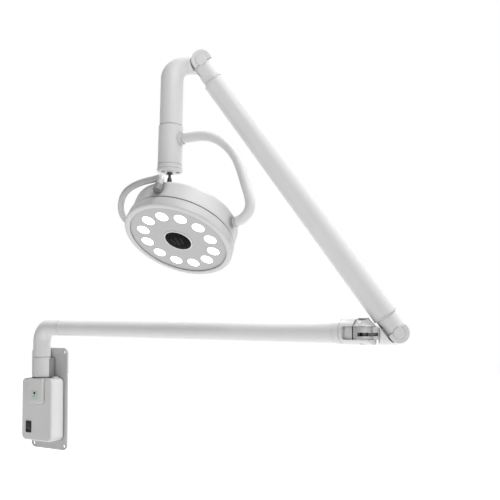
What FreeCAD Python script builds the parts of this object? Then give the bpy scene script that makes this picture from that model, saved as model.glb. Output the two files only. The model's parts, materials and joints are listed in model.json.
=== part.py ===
import FreeCAD, Part
import math
import os
import Sketcher
from FreeCAD import Vector, Placement, Rotation

# Wall-mounted examination and minor-surgery light.
# Frame: origin at the centre of the wall plate's back face, +X right along the wall,
# +Y into the wall (the room is on the -Y side), +Z up. Millimetres and degrees.
# Chain: wall plate and control box - swivelling horizontal arm - knuckle link -
# balanced spring arm - lamp elbow - lamp stem with yoke - lamp head.
# Each piece is a function that builds it in the frame named beside it in PIECES.

DIMENSIONS = {
    # wall plate
    "plate_w": 130, "plate_tall": 270, "plate_th": 5, "plate_corner": 14,
    "plate_hole_dx": 110, "plate_hole_dz": 248, "plate_hole_d": 9,
    # column and its joint
    "col_od": 45, "col_id": 39, "col_y": -31, "col_low": -4, "col_top": 111.5,
    "joint_gap": 1, "spindle_r": 15, "run_fit": 0.05,
    # control box
    "box_w": 109, "box_low": -108, "box_top": 56, "box_front": -50, "box_back": -6.2,
    "box_wall": 2.5, "box_round": 14, "box_edge": 5, "tongue_w": 53.2, "tongue_x": 2.9,
    "tongue_low": -9, "tongue_top": 57.5, "tongue_front": -57.5,
    "rocker_x": -26.8, "rocker_z": -72, "rocker_wide": 19, "rocker_tall": 30, "seal_r": 24.4,
    # horizontal arm
    "arm_yaw": -6, "arm_z": 192, "elbow_bend": 40, "elbow_end": 85,
    "fork_start": 892, "fork_od": 48, "knuckle_x": 946, "slot_half": 12.3, "slot_drop": -2.5,
    "barrel_r": 20.5, "barrel_half": 12, "knuckle_pin_r": 8,
    # knuckle link
    "link_yaw": 31.6, "link_len": 63, "link_drop": -2, "link_od": 47, "link_start": 28,
    # spring arm
    "lift": 54.6, "spring_len": 634.5, "spring_od": 48, "spring_id": 42.4,
    "cheek_low_r": 19, "cheek_high_r": 19, "saddle_gap": 2.2, "cheek_half": 20,
    "tongue_half": 9, "hinge_pin_r": 6, "tube_low": 41, "tube_high_inset": 46, "fit_od": 42,
    "rod_perp": 13, "puller_perp": 10.5, "rod_pin_r": 2.5,
    # lamp elbow and stem
    "lean": 1.4, "stem_x": -58, "stem_od": 44, "stem_id": 38, "hook_od": 33,
    "hook_z": -4.5, "hook_x": -27, "bend_z": -31, "stem_low": -121.5,
    "sleeve_od": 47, "sleeve_id": 41, "sleeve_low": -197, "collar_od": 48,
    "cap_od": 49.5, "cap_low": -212, "stem_spindle_r": 12,
    "yoke_yaw": -21.5, "yoke_tube": 18.6, "head_off": 37, "pivot_z": -312,
    # lamp head
    "head_tilt": -32.6, "led_plane": -41, "led_ring": 68.2, "led_r": 12, "rim_r": 104.5,
    "rim_in": 93.7, "rim_front": -43.8, "band_r": 103.6, "band_back": -23.5,
    "shell_r": 101.5, "shell_wall": 2.5, "shell_back": 17, "window_r": 25,
    "handle_tube": 12.4, "handle_z": 21, "handle_leg": 108, "pivot_shaft_r": 6,
}

doc = FreeCAD.newDocument("surgical_light")
sheet = doc.addObject("Spreadsheet::Sheet", "dims")
for row, (alias, value) in enumerate(DIMENSIONS.items(), start=1):
    sheet.set("A%d" % row, alias)
    sheet.set("B%d" % row, str(value))
    sheet.setAlias("B%d" % row, alias)
doc.recompute()


# ---------------------------------------------------------------- driven values
def size(alias):
    return float(sheet.get(alias))


# A driven sketch value is a pair: its expression and the number it starts from.
def driven(alias, scale=1, offset=0):
    return ("dims.%s*(%s)+(%s)" % (alias, scale, offset), size(alias) * scale + offset)


def half(alias, offset=0):
    return driven(alias, 0.5, offset)


def difference(alias, other):
    return ("dims.%s-dims.%s" % (alias, other), size(alias) - size(other))


def number(value):
    return value[1] if isinstance(value, tuple) else value


# ---------------------------------------------------------------- placing
AXES = {
    "z": Rotation(),
    "x": Rotation(Vector(0, 1, 0), 90),
    "y": Rotation(Vector(1, 0, 0), -90),
    "-y": Rotation(Vector(1, 0, 0), 90),
}


def about_x(angle):
    return Rotation(Vector(1, 0, 0), angle)


def about_y(angle):
    return Rotation(Vector(0, 1, 0), angle)


def about_z(angle):
    return Rotation(Vector(0, 0, 1), angle)


def at(x=0, y=0, z=0, rotation=AXES["z"]):
    return Placement(Vector(x, y, z), rotation)


def placed(obj, placement):
    obj.Placement = placement
    return obj


def polar(radius, angles):
    """(x, y) points on a circle."""
    return [(radius * math.cos(math.radians(a)), radius * math.sin(math.radians(a)))
            for a in angles]


# ---------------------------------------------------------------- solids and booleans
# A size or coordinate given as a string is an expression on the spreadsheet.
def bind(obj, prop, value):
    if isinstance(value, str):
        obj.setExpression(prop, value)
    else:
        setattr(obj, prop, value)


def put(obj, x, y, z, rotation):
    obj.Placement = at(*[0 if isinstance(c, str) else c for c in (x, y, z)], rotation)
    for value, axis in zip((x, y, z), "xyz"):
        if isinstance(value, str):
            obj.setExpression(".Placement.Base." + axis, value)


def cyl(radius, length, x=0, y=0, z=0, axis="z"):
    obj = doc.addObject("Part::Cylinder", "cyl")
    bind(obj, "Radius", radius)
    bind(obj, "Height", length)
    put(obj, x, y, z, AXES[axis])
    return obj


def box(length, width, height, x=0, y=0, z=0):
    obj = doc.addObject("Part::Box", "box")
    bind(obj, "Length", length)
    bind(obj, "Width", width)
    bind(obj, "Height", height)
    put(obj, x, y, z, AXES["z"])
    return obj


def framed_box(frame, lengths, corner):
    return placed(box(*lengths), frame.multiply(at(*corner)))


def fuse(*objs):
    obj = doc.addObject("Part::MultiFuse", "fuse")
    obj.Shapes = list(objs)
    return obj


def cut(base, *tools):
    tool = tools[0] if len(tools) == 1 else fuse(*tools)
    obj = doc.addObject("Part::Cut", "cut")
    obj.Base = base
    obj.Tool = tool
    return obj


def common(*objs):
    obj = doc.addObject("Part::MultiCommon", "common")
    obj.Shapes = list(objs)
    return obj


def group(*objs):
    obj = doc.addObject("Part::Compound", "group")
    obj.Links = list(objs)
    return obj


def feature(shape):
    obj = doc.addObject("Part::Feature", "shaped")
    obj.Shape = shape
    return obj


def runs_along_y(edge):
    return abs(edge.tangentAt(edge.FirstParameter).y) > 0.99


def is_circle(edge):
    return isinstance(edge.Curve, Part.Circle)


def rounded(obj, radius, pick):
    """Part::Fillet on the edges that pick(edge) accepts."""
    doc.recompute()
    edges = [i for i, edge in enumerate(obj.Shape.Edges, start=1) if pick(edge)]
    fillet = doc.addObject("Part::Fillet", "fillet")
    fillet.Base = obj
    fillet.Edges = [(i, radius, radius) for i in edges]
    doc.recompute()
    return fillet


# ---------------------------------------------------------------- sketched bodies
def sketch_on(body, plane, name):
    sketch = body.newObject("Sketcher::SketchObject", name)
    origin_plane = next(f for f in body.Origin.OriginFeatures if f.Role == plane)
    sketch.AttachmentSupport = [(origin_plane, "")]
    sketch.MapMode = "FlatFace"
    return sketch


def constrain(sketch, kind, *refs, value):
    index = sketch.addConstraint(Sketcher.Constraint(kind, *refs, float(number(value))))
    if isinstance(value, tuple):
        sketch.setExpression("Constraints[%d]" % index, value[0])


def profile(body, plane, loops, circles=()):
    """Sketch of closed polylines and (x, y, radius) circles, fully dimensioned."""
    sketch = sketch_on(body, plane, "profile")
    for points in loops:
        first = sketch.GeometryCount
        corners = [Vector(number(x), number(y), 0) for x, y in points]
        count = len(corners)
        for i in range(count):
            sketch.addGeometry(Part.LineSegment(corners[i], corners[(i + 1) % count]), False)
        for i in range(count):
            sketch.addConstraint(
                Sketcher.Constraint("Coincident", first + i, 2, first + (i + 1) % count, 1))
        for i, (x, y) in enumerate(points):
            constrain(sketch, "DistanceX", -1, 1, first + i, 1, value=x)
            constrain(sketch, "DistanceY", -1, 1, first + i, 1, value=y)
    for x, y, radius in circles:
        circle = Part.Circle(Vector(number(x), number(y), 0), Vector(0, 0, 1), number(radius))
        index = sketch.addGeometry(circle, False)
        constrain(sketch, "DistanceX", -1, 1, index, 3, value=x)
        constrain(sketch, "DistanceY", -1, 1, index, 3, value=y)
        constrain(sketch, "Radius", index, value=radius)
    return sketch


def turned(points):
    """Body: a (radius, height) profile revolved about its own Z axis."""
    body = doc.addObject("PartDesign::Body", "body")
    sketch = profile(body, "XZ_Plane", [points])
    revolution = body.newObject("PartDesign::Revolution", "turn")
    revolution.Profile = sketch
    revolution.ReferenceAxis = (sketch, ["V_Axis"])
    revolution.Angle = 360
    doc.recompute()
    return body


def ring(r_out, r_in, low, high):
    return turned([(r_in, low), (r_out, low), (r_out, high), (r_in, high)])


def padded(loops, circles, length, plane="XZ_Plane", shift=0):
    """Body: a profile padded along its plane's normal, starting at shift."""
    body = doc.addObject("PartDesign::Body", "body")
    sketch = profile(body, plane, loops, circles)
    sketch.AttachmentOffset = at(z=shift)
    pad = body.newObject("PartDesign::Pad", "pad")
    pad.Profile = sketch
    bind(pad, "Length", length)
    doc.recompute()
    return body


def body_fillet(body, radius, pick):
    base = body.Tip
    names = ["Edge%d" % i for i, edge in enumerate(base.Shape.Edges, start=1) if pick(edge)]
    fillet = body.newObject("PartDesign::Fillet", "round")
    fillet.Base = (base, names)
    fillet.Radius = radius
    doc.recompute()
    return body


# ---------------------------------------------------------------- swept tubes
def pipe(wire, r_out, r_in=0):
    """Shape swept along a wire: a tube, or a solid bar when r_in is 0."""
    start = wire.Edges[0]
    point = start.valueAt(start.FirstParameter)
    tangent = start.tangentAt(start.FirstParameter)

    def sweep(radius):
        section = Part.Wire([Part.Circle(point, tangent, radius).toShape()])
        return wire.makePipeShell([section], True, False)

    outer = sweep(r_out)
    return outer.cut(sweep(r_in)) if r_in else outer


def spline(points, start_tangent, end_tangent):
    curve = Part.BSplineCurve()
    curve.interpolate(Points=[Vector(p) for p in points],
                      InitialTangent=start_tangent, FinalTangent=end_tangent)
    return curve.toShape()


# ---------------------------------------------------------------- frames
MID_LIFT = 60  # arm elevation at which the two rod pins stand square to the arm


def arm_rotation(elevation):
    """Turns x to point up the spring arm, which rises towards the link's -x side."""
    return about_y(elevation - 180)


def pin_offset(perp):
    """Place of a rod pin from the lower hinge, in the link's directions."""
    return arm_rotation(MID_LIFT).multVec(Vector(0, 0, perp))


LOW_HINGE = Vector(size("link_len"), 0, size("link_drop"))  # in the link's frame
ROD_OFFSET = pin_offset(size("rod_perp"))

F_WALL = Placement()
F_COLUMN = at(y=size("col_y"))
F_ARM = at(y=size("col_y"), rotation=about_z(size("arm_yaw")))
F_LINK = F_ARM.multiply(at(size("knuckle_x"), 0, size("arm_z"), about_z(size("link_yaw"))))
F_SPRING = F_LINK.multiply(Placement(LOW_HINGE, arm_rotation(size("lift"))))
# Upper fitting: origin on the upper hinge, x back down the arm.
ARM_TOP = at(size("spring_len"), 0, 0, about_y(180))
F_TOP = F_SPRING.multiply(ARM_TOP)
F_ROD = F_LINK.multiply(Placement(LOW_HINGE + ROD_OFFSET, arm_rotation(size("lift"))))
F_ELBOW = Placement(
    F_SPRING.multVec(Vector(size("spring_len"), 0, 0)),
    about_z(size("arm_yaw") + size("link_yaw")).multiply(about_y(size("lean"))))
F_STEM = F_ELBOW.multiply(at(size("stem_x")))
F_YOKE = F_ELBOW.multiply(at(size("stem_x"), rotation=about_z(size("yoke_yaw"))))
F_HEAD = F_YOKE.multiply(at(size("head_off"), 0, size("pivot_z"), about_x(size("head_tilt"))))


# ---------------------------------------------------------------- wall plate, column
BOX_SCREW_X = (-30, 30)
BOX_SCREW_Y = -25


def wall_plate():
    """Flat plate with four corner holes and two tabs for the box cover's screws."""
    corners = [(driven("plate_w", i / 2), driven("plate_tall", k / 2))
               for i, k in ((-1, -1), (1, -1), (1, 1), (-1, 1))]
    holes = [(driven("plate_hole_dx", i / 2), driven("plate_hole_dz", k / 2),
              half("plate_hole_d")) for i in (-1, 1) for k in (-1, 1)]
    room_face = -size("plate_th")
    plate = padded([corners], holes, "dims.plate_th")
    body_fillet(plate, size("plate_corner"),
                lambda e: runs_along_y(e) and e.Length < 6 and len(e.Vertexes) == 2)
    body_fillet(plate, 1.2, lambda e: (
        all(abs(v.Point.y - room_face) < 0.01 for v in e.Vertexes)
        and e.Length > 15 and not (is_circle(e) and e.Curve.Radius < 6)))
    tabs = [cut(box(14, 27, 2.4, x - 7, -32, "dims.box_low+2.7"),
                cyl(1.4, 6, x, BOX_SCREW_Y, "dims.box_low")) for x in BOX_SCREW_X]
    return fuse(plate, *tabs)


def column_bracket():
    """Channel block that holds the column tube off the plate."""
    half_width = 22
    block = box(2 * half_width, 26, 112, -half_width, -31, -4)
    channel = cut(block, cyl("dims.col_od/2", 140, 0, "dims.col_y", -20),
                  box(30, 10, 124, -15, -16, -10))
    return rounded(channel, 3.0, lambda e: (
        runs_along_y(e) and abs(abs(e.CenterOfMass.x) - half_width) < 0.1
        and e.CenterOfMass.z > 100))


def column_tube():
    tube = ring(half("col_od"), half("col_id"), driven("col_low"), driven("col_top"))
    return body_fillet(tube, 0.6, lambda e: (
        is_circle(e) and e.Curve.Radius > 22 and e.CenterOfMass.z > 100))


def column_seal():
    """Ring where the column leaves the box, trimmed behind the column's axis."""
    inner, outer = half("col_od"), driven("seal_r")
    seal = turned([(inner, 56.2), (outer, 56.2), (outer, 57.8), (23.6, 59.4), (inner, 59.4)])
    return cut(seal, box(44.6, 40, 20, -22.3, 0, 50))


def bush(outer, length, z, bore, bore_z):
    return cut(cyl(outer, length, 0, 0, z), cyl(bore + "+dims.run_fit", 30, 0, 0, bore_z))


def column_bushes():
    return group(bush("dims.col_id/2", 22, 0, "dims.spindle_r", -2),
                 bush("dims.col_id/2", 26, 82, "dims.spindle_r", 80))


# ---------------------------------------------------------------- control box
GLAND_X, GLAND_Y = 34.5, -16
WINDOW_X, WINDOW_Z = 1.6, 18.4  # status window in the tongue panel
LENS_X, LENS_Z = 1.2, 10.6  # indicator lens below it


def box_block(walls):
    """Box block with rounded front, inset by the given number of walls."""
    inset = "%d*dims.box_wall" % walls
    depth = walls * size("box_wall")
    block = box("dims.box_w-2*" + inset, "dims.box_back-dims.box_front",
                "dims.box_top-dims.box_low-2*" + inset,
                "-dims.box_w/2+" + inset, "dims.box_front+" + inset, "dims.box_low+" + inset)
    block = rounded(block, size("box_round") - depth, runs_along_y)
    front = size("box_front") + depth
    return rounded(block, size("box_edge") - depth, lambda e: e.CenterOfMass.y < front + 0.01)


def box_cover():
    """Open-backed shell over the bracket, with its openings."""
    outer = box_block(0)
    inner = box_block(1)
    return cut(
        outer, inner,
        # slot for the column, open to the rear
        box("2*dims.seal_r+0.2", 26, 30, "-dims.seal_r-0.1", -31, 40),
        cyl("dims.seal_r+0.1", 30, 0, "dims.col_y", 40),
        # openings behind the tongue panel and the rocker switch
        box(46, 12, 66, -20.1, "dims.box_front-5", "dims.tongue_low+4"),
        box("dims.rocker_wide-3", 12, "dims.rocker_tall-3",
            "dims.rocker_x-dims.rocker_wide/2+1.5", "dims.box_front-4",
            "dims.rocker_z-dims.rocker_tall/2+1.5"),
        cyl(5.2, 12, GLAND_X, GLAND_Y, 50),
        *[cyl(1.6, 12, x, BOX_SCREW_Y, "dims.box_low-4") for x in BOX_SCREW_X],
    )


def tongue_cover():
    """Raised panel that clears the column tube."""
    def low_corner(edge):
        return runs_along_y(edge) and edge.CenterOfMass.z < 0

    outer = box("dims.tongue_w", "dims.box_front-dims.tongue_front",
                "dims.tongue_top-dims.tongue_low",
                "dims.tongue_x-dims.tongue_w/2", "dims.tongue_front", "dims.tongue_low")
    outer = rounded(outer, 7.0, low_corner)
    outer = rounded(outer, 3.0, lambda e: e.CenterOfMass.y < size("tongue_front") + 0.01)
    outer = fuse(outer, box("dims.tongue_w", 18, 1.5, "dims.tongue_x-dims.tongue_w/2", -50, 56))
    inner = box("dims.tongue_w-5", 8, "dims.tongue_top-dims.tongue_low-4.5",
                "dims.tongue_x-dims.tongue_w/2+2.5", -55.5, "dims.tongue_low+2.5")
    inner = rounded(inner, 4.5, low_corner)
    return cut(outer, inner, cyl("dims.seal_r+0.1", 40, 0, "dims.col_y", 40),
               cyl(1.55, 12, LENS_X, -60, LENS_Z, "y"),
               cyl(3.1, 1.2, WINDOW_X, -58.2, WINDOW_Z, "y"))


def indicator_panel():
    panel = rounded(box(21, 0.5, 22, -9, -58.0, 2.5), 3.0, runs_along_y)
    return cut(panel, cyl(1.75, 5, LENS_X, -60, LENS_Z, "y"),
               cyl(3.3, 5, WINDOW_X, -60, WINDOW_Z, "y"))


def status_window():
    return cyl(3.05, 1.2, WINDOW_X, -58.2, WINDOW_Z, "y")


def indicator_lens():
    return fuse(cyl(1.5, 4, LENS_X, -58.4, LENS_Z, "y"), cyl(2.2, 1.4, LENS_X, -55.4, LENS_Z, "y"))


def rocker_bezel():
    """Switch bezel and body, open to the front, with a pivot hole across."""
    bezel = box("dims.rocker_wide", 1.6, "dims.rocker_tall",
                "dims.rocker_x-dims.rocker_wide/2", "dims.box_front-1.6",
                "dims.rocker_z-dims.rocker_tall/2")
    bezel = rounded(bezel, 1.5, runs_along_y)
    body = box("dims.rocker_wide-3.2", 17, "dims.rocker_tall-3.2",
               "dims.rocker_x-dims.rocker_wide/2+1.6", "dims.box_front",
               "dims.rocker_z-dims.rocker_tall/2+1.6")
    opening = box("dims.rocker_wide-6", 10, "dims.rocker_tall-6",
                  "dims.rocker_x-dims.rocker_wide/2+3", "dims.box_front-2",
                  "dims.rocker_z-dims.rocker_tall/2+3")
    pivot = cyl(1.36, "dims.rocker_wide-4.2", "dims.rocker_x-dims.rocker_wide/2+2.1",
                "dims.box_front+1.6", "dims.rocker_z", "x")
    return cut(fuse(bezel, body), opening, pivot)


ROCKER_TILT = 7
F_ROCKER = at(size("rocker_x"), size("box_front") + 1.6, size("rocker_z"), about_x(ROCKER_TILT))

# Side outline of the rocker: (y, z) from its pivot, front at -y.
ROCKER_OUTLINE = [
    (2.6, -11.5), (-2.2, -11.5), (-3.4, -0.6), (-3.4, 0.6), (-2.2, 11.5), (2.6, 11.5), (5.0, 0),
]


def rocker():
    width = 12.6
    key = padded([ROCKER_OUTLINE], [], width, plane="YZ_Plane", shift=-width / 2)
    return fuse(key, cyl(1.3, 14.4, -7.2, 0, 0, "x"))


def power_supply():
    return fuse(box(62, 30, 78, -18, -41, -98), box(62, 2, 82, -18, -11, -100))


F_GLAND = at(GLAND_X, GLAND_Y, size("box_top"))


def cable_gland():
    return turned([(0, -4), (5.1, -4), (5.1, 0), (8.5, 0), (8.5, 2.0), (6.8, 3.2),
                   (3.4, 3.6), (3.4, 2.4), (0, 2.4)])


def box_screws():
    return group(*[fuse(cyl(3.2, 1.6, x, BOX_SCREW_Y, "dims.box_low-1.6"),
                        cyl(1.35, 5.3, x, BOX_SCREW_Y, "dims.box_low")) for x in BOX_SCREW_X])


# ---------------------------------------------------------------- horizontal arm
def lower_elbow():
    """Bend from the column to the arm: tube swept up, round and out along x."""
    start = size("col_top") + size("joint_gap")
    arm_z, bend = size("arm_z"), size("elbow_bend")
    body = doc.addObject("PartDesign::Body", "body")
    spine = sketch_on(body, "XZ_Plane", "spine")
    arc = Part.Circle(Vector(bend, arm_z - bend, 0), Vector(0, 0, 1), bend)
    for piece in (
        Part.LineSegment(Vector(0, start, 0), Vector(0, arm_z - bend, 0)),
        Part.ArcOfCircle(arc, math.pi / 2, math.pi),
        Part.LineSegment(Vector(bend, arm_z, 0), Vector(size("elbow_end") - 0.4, arm_z, 0)),
    ):
        spine.addGeometry(piece, False)
    for kind, diameter in (("AdditivePipe", "col_od"), ("SubtractivePipe", "col_id")):
        section = profile(body, "XY_Plane", [], [(0, 0, half(diameter))])
        section.AttachmentOffset = at(z=start)
        section.setExpression(".AttachmentOffset.Base.z", "dims.col_top+dims.joint_gap")
        sweep = body.newObject("PartDesign::" + kind, "bend")
        sweep.Profile = section
        sweep.Spine = spine
        doc.recompute()
    return body


def flanged_spindle(bore, radius, low, step, flange_r, high):
    """Hollow spindle, wider from the step up."""
    return turned([(bore, low), (radius, low), (radius, step), (flange_r, step),
                   (flange_r, high), (bore, high)])


def swivel_spindle():
    """Turns in the column bushes, with its flange inside the elbow."""
    return flanged_spindle(8, driven("spindle_r"), 4, 112.5, 19.5, 138)


def horizontal_tube():
    tube = ring(half("col_od"), half("col_id"),
                driven("elbow_end", offset=0.4), driven("fork_start", offset=-0.4))
    return placed(tube, at(z=size("arm_z"), rotation=AXES["x"]))


def arm_end_fork():
    """Horizontal bar slotted for the knuckle barrel, round in plan, with a plug."""
    knuckle_x, arm_z = size("knuckle_x"), size("arm_z")
    bar = fuse(
        cyl("dims.fork_od/2", "dims.knuckle_x+30-dims.fork_start",
            "dims.fork_start", 0, "dims.arm_z", "x"),
        cyl("dims.col_id/2", 36, "dims.fork_start-36", 0, "dims.arm_z", "x"),
    )
    plan = fuse(
        cyl("dims.fork_od/2-0.5", 60, "dims.knuckle_x", 0, "dims.arm_z-30"),
        box("dims.knuckle_x-dims.fork_start+40", 60, 60,
            "dims.fork_start-40", -30, "dims.arm_z-30"),
    )
    slot_height = "2*dims.slot_half"
    slot_low = "dims.arm_z+dims.slot_drop-dims.slot_half"
    pocket = box(46, 17, slot_height, "dims.knuckle_x-35.5", -30, slot_low)
    pocket = rounded(pocket, 3.0,
                     lambda e: runs_along_y(e) and e.CenterOfMass.x < knuckle_x - 30)
    slot = fuse(cyl("dims.barrel_r+1.3", slot_height, "dims.knuckle_x", 0, slot_low),
                box(60, 60, slot_height, "dims.knuckle_x-8", -30, slot_low), pocket)
    # Slope on top of the fork, falling away from the pin.
    relief = turned([(11, 40), (11, 23.3), (23.6, 9.8), (40, 9.8), (40, 40)])
    placed(relief, at(knuckle_x, 0, arm_z))
    relief = common(relief, box(60, 100, 60, knuckle_x - 12, -50, arm_z))
    groove = ring(26, 23.3, 12, 13)
    placed(groove, at(size("fork_start"), 0, arm_z, AXES["x"]))
    return cut(common(bar, plan), slot, relief, groove,
               cyl("dims.knuckle_pin_r", 80, "dims.knuckle_x", 0, "dims.arm_z-40"))


def knuckle_pin():
    return fuse(cyl("dims.knuckle_pin_r", 48, "dims.knuckle_x", 0, "dims.arm_z-23.5"),
                cyl(10.2, 1.2, "dims.knuckle_x", 0, "dims.arm_z+24.05"))


# ---------------------------------------------------------------- knuckle link
BARREL_LOW = "dims.slot_drop-dims.barrel_half"
LOW_STOP = 2.6  # how far the arm swings below its set elevation
SADDLE_SWINGS = (-LOW_STOP, 4, 8.5, 13)  # arm swings at which the saddle is cleared


def at_low_hinge(elevation):
    return Placement(LOW_HINGE, arm_rotation(elevation))


def link_clearances():
    """Room in the link for the arm's cheeks, its neck and the two rods."""
    lift, tongue = size("lift"), size("tongue_half")
    rod, puller = size("rod_perp"), size("puller_perp")
    low, middle = at_low_hinge(lift - LOW_STOP), at_low_hinge(MID_LIFT)
    swept, notch = (90, 30, 60), (60, 6.4, 12.0)
    return [
        framed_box(low, swept, (0, tongue, -38)),
        framed_box(low, swept, (0, -tongue - 30, -38)),
        *[framed_box(at_low_hinge(lift + swing), swept, (23.5, -15, -38))
          for swing in SADDLE_SWINGS],
        framed_box(middle, notch, (-6.2, -3.2, rod - 6.0)),
        framed_box(middle, notch, (-6.2, -3.2, -puller - 6.4)),
        framed_box(low, notch, (-6.2, -3.2, -puller - 6.4)),
    ]


def knuckle_barrel():
    """Barrel on the vertical pin, with a slit and a tenon into the link."""
    barrel = fuse(cyl("dims.barrel_r", "2*dims.barrel_half", 0, 0, BARREL_LOW),
                  box(25, 26, "2*dims.barrel_half", 12, -13, BARREL_LOW))
    barrel = cut(barrel, cyl("dims.knuckle_pin_r+dims.run_fit", 40, 0, 0, -20),
                 box(38, 26, 6.7, -13, -30, -8.2))
    return cut(barrel, *link_clearances())


def link_body():
    """Casting from the barrel's tenon to the lower hinge tongue, with both rod pins."""
    bar = cyl("dims.link_od/2", "60-dims.link_start", "dims.link_start", 0, -0.5, "x")
    bar = rounded(bar, 2.0, lambda e: abs(e.CenterOfMass.x - size("link_start")) < 0.1)
    saddle = cyl("dims.cheek_low_r+dims.saddle_gap", 80, "dims.link_len", -40,
                 "dims.link_drop", "y")
    blank = fuse(
        cut(bar, saddle),
        box(34, "2*dims.tongue_half", 36, 30, "-dims.tongue_half", -20),
        cyl("dims.cheek_low_r-1", "2*dims.tongue_half", "dims.link_len",
            "-dims.tongue_half", "dims.link_drop", "y"),
    )
    casting = cut(
        blank, *link_clearances(),
        box(31, 26, "2*dims.barrel_half", 6, -13, BARREL_LOW),
        cyl("dims.hinge_pin_r+dims.run_fit", 60, "dims.link_len", -30, "dims.link_drop", "y"))
    middle = at_low_hinge(MID_LIFT)
    pins = [placed(cyl("dims.rod_pin_r", 12), middle.multiply(at(0, -6, perp, AXES["y"])))
            for perp in (size("rod_perp"), -size("puller_perp"))]
    return fuse(casting, *pins)


# ---------------------------------------------------------------- spring arm
def spring_arm_tube():
    tube = ring(half("spring_od"), half("spring_id"),
                driven("tube_low"), difference("spring_len", "tube_high_inset"))
    return placed(tube, at(rotation=AXES["x"]))


def end_fitting(cheek_alias, reach_alias):
    """Fork: two rounded cheeks on the hinge axis, a hollow neck and a plug in the tube."""
    cheek, reach = size(cheek_alias), size(reach_alias)
    cheek_name = "dims." + cheek_alias
    neck = size("fit_od") / 2 + 0.1
    end = reach + 36
    outline = [(0, -cheek), (14, -cheek), (24, -neck), (end, -neck),
               (end, neck), (24, neck), (14, cheek), (0, cheek)]
    side = padded([outline], [], 60, shift=-30)
    hub = cyl(cheek, 60, 0, -30, 0, "y")
    bar = cyl("dims.fit_od/2", reach + 30, 0, 0, 0, "x")
    cheeks = box(25, "2*dims.cheek_half", "2*" + cheek_name,
                 "-" + cheek_name, "-dims.cheek_half", "-" + cheek_name)
    solid = common(fuse(bar, cheeks), fuse(side, hub))
    return cut(
        solid,
        box(60, "2*dims.tongue_half+0.6", 80, -36, "-dims.tongue_half-0.3", -40),
        box(90, 12.4, 35, 0, -6.2, -17.5),
        cyl(16.5, 90, 30, 0, 0, "x"),
        cyl("dims.hinge_pin_r", 60, 0, -30, 0, "y"),
        # seats for the hinge caps
        cyl(11.2, 10, 0, 18.2, 0, "y"),
        cyl(11.2, 10, 0, -18.2, 0, "-y"))


def lower_end_fitting():
    return end_fitting("cheek_low_r", "tube_low")


def upper_end_fitting():
    return end_fitting("cheek_high_r", "tube_high_inset")


def trim_ring(tube_end):
    """Ring against the tube's end, on the hinge side."""
    lip = turned([(21.0, tube_end - 2.2), (23.6, tube_end - 2.2), (24.6, tube_end - 1.4),
                  (24.6, tube_end - 0.7), (24.2, tube_end - 0.02), (21.0, tube_end - 0.02)])
    return placed(lip, at(rotation=AXES["x"]))


def trim_rings():
    lower = trim_ring(size("tube_low"))
    upper = trim_ring(size("tube_high_inset"))
    placed(upper, ARM_TOP.multiply(upper.Placement))
    return group(lower, upper)


def hinge_pins():
    return group(*[cyl("dims.hinge_pin_r", 36, x, -18, 0, "y") for x in (0, "dims.spring_len")])


def hinge_caps():
    outline = [(0, 18.25), (11.0, 18.25), (11.0, 20.2), (9.6, 20.8), (0, 20.9)]
    return group(*[placed(turned(outline), at(x, rotation=AXES[axis]))
                   for x in (0, size("spring_len")) for axis in ("y", "-y")])


# Balance spring along the arm, on the puller rod's axis.
COIL_START = 122
COIL_PITCH = 10.5
COIL_LENGTH = COIL_PITCH * 15
COIL_R = 9.8
COIL_WIRE_R = 1.9
COIL_Z = 2 - size("puller_perp")


def balance_spring():
    helix = Part.makeHelix(COIL_PITCH, COIL_LENGTH, COIL_R)
    section = Part.Wire([Part.Circle(Vector(COIL_R, 0, 0), Vector(0, 1, 0),
                                     COIL_WIRE_R).toShape()])
    coil = Part.Wire(helix.Edges).makePipeShell([section], True, True)
    return placed(feature(coil), at(COIL_START, 0, COIL_Z, AXES["x"]))


def spring_seat():
    """Disc fixed in the tube, with passages for both rods."""
    return cut(cyl("dims.spring_id/2", 12, 106, 0, 0, "x"),
               cyl(4.6, 20, 100, 0, "-dims.puller_perp+2", "x"),
               box(30, 8, 12, 95, -4, "dims.rod_perp-6"))


def parallel_rod():
    """Flat rod, eye to eye, that keeps the lamp elbow upright."""
    rod = fuse(cyl(5.0, 5, 0, -2.5, 0, "y"), box("dims.spring_len", 5, 6, 0, -2.5, -3),
               cyl(5.0, 5, "dims.spring_len", -2.5, 0, "y"))
    return cut(rod, cyl("dims.rod_pin_r+dims.run_fit", 20, 0, -10, 0, "y"),
               cyl("dims.rod_pin_r+0.3", 20, "dims.spring_len", -10, 0, "y"))


def balance_rod():
    """Puller rod from its link pin through the spring to a plate and a nut."""
    pin_in_link = LOW_HINGE + pin_offset(-size("puller_perp"))
    pin = F_SPRING.inverse().multVec(F_LINK.multVec(pin_in_link))
    plate_x = COIL_START + COIL_LENGTH + 3.2
    puller = fuse(
        cyl(4.6, 5, pin.x, -2.5, pin.z, "y"),
        box(50, 5, 6, pin.x, -2.5, pin.z - 3),
        cyl(3.8, 256, pin.x + 44, 0, COIL_Z, "x"),
        cyl(12.0, 4, plate_x, 0, COIL_Z, "x"),
        cyl(7.0, 7, plate_x + 4, 0, COIL_Z, "x"))
    return cut(puller, cyl("dims.rod_pin_r+0.35", 20, pin.x, -10, pin.z, "y"),
               *[cyl("dims.hinge_pin_r+0.8", 20, x, -10, 0, "y") for x in (0, -1.5)])


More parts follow.
